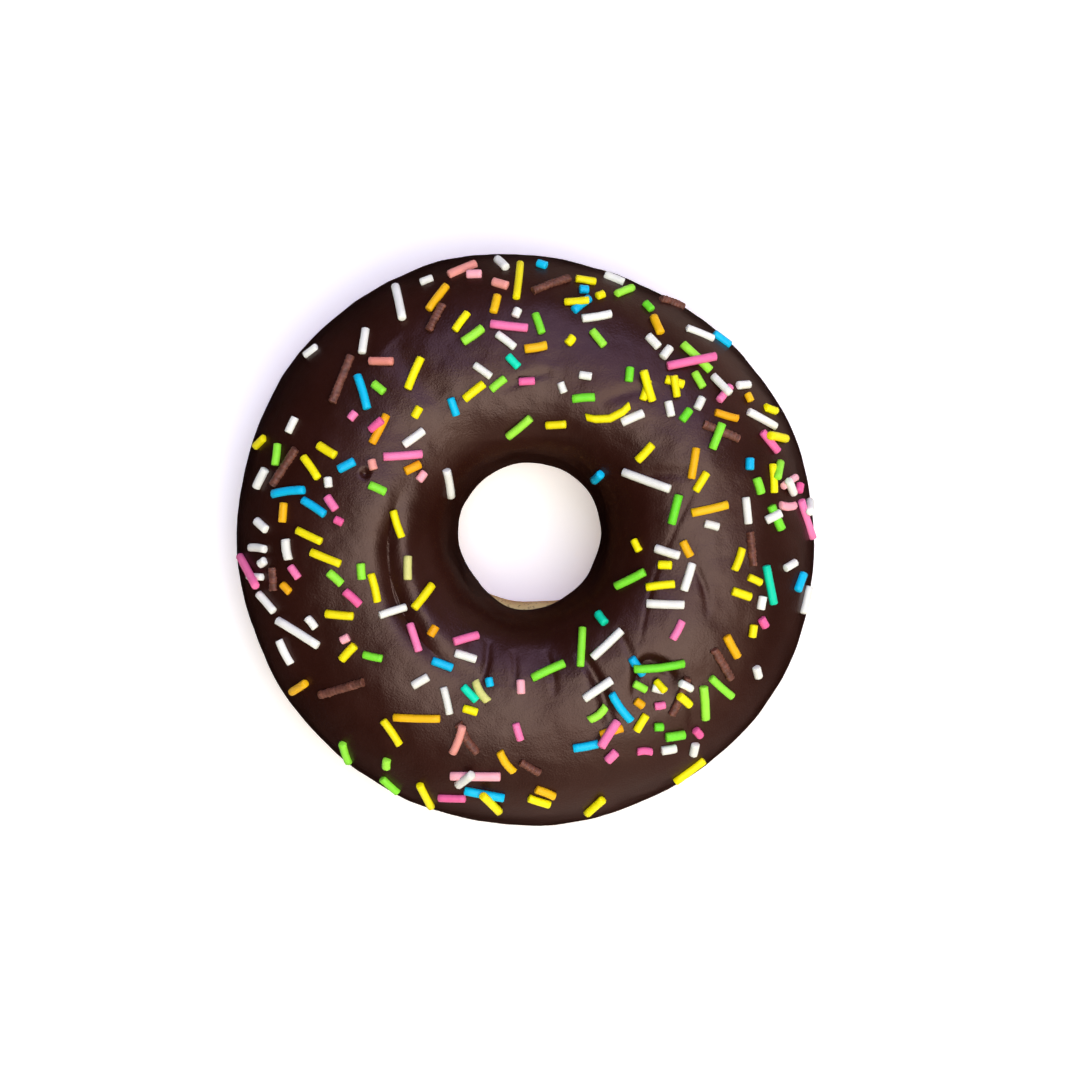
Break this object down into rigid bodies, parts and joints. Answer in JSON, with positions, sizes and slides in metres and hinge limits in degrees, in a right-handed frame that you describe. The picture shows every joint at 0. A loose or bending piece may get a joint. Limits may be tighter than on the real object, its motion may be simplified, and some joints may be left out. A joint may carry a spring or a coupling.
{
  "type": "chocolate doughnut",
  "caption": "Ring doughnut of fried dough with dark chocolate icing over its top and sides, strewn with coloured sugar sprinkles and chocolate sticks.",
  "frame": {"origin": "middle of the ring's footprint, on the surface it rests on", "axes": "+Z up through the ring; +X to the right and +Y up in the picture, which looks straight down"},
  "size_m": [0.093, 0.0921, 0.031],
  "materials": {
    "dough": "matte",
    "icing": "satin",
    "sprinkle_white": "satin",
    "sprinkle_yellow": "satin",
    "sprinkle_orange": "satin",
    "sprinkle_green": "satin",
    "sprinkle_pink": "satin",
    "sprinkle_rose": "satin",
    "sprinkle_salmon": "satin",
    "sprinkle_blue": "satin",
    "sprinkle_teal": "satin",
    "sprinkle_khaki": "satin",
    "chocolate_stick": "matte"
  },
  "bodies": {
    "root": {"dough": "dough", "icing": "icing"}
  },
  "joints": []
}
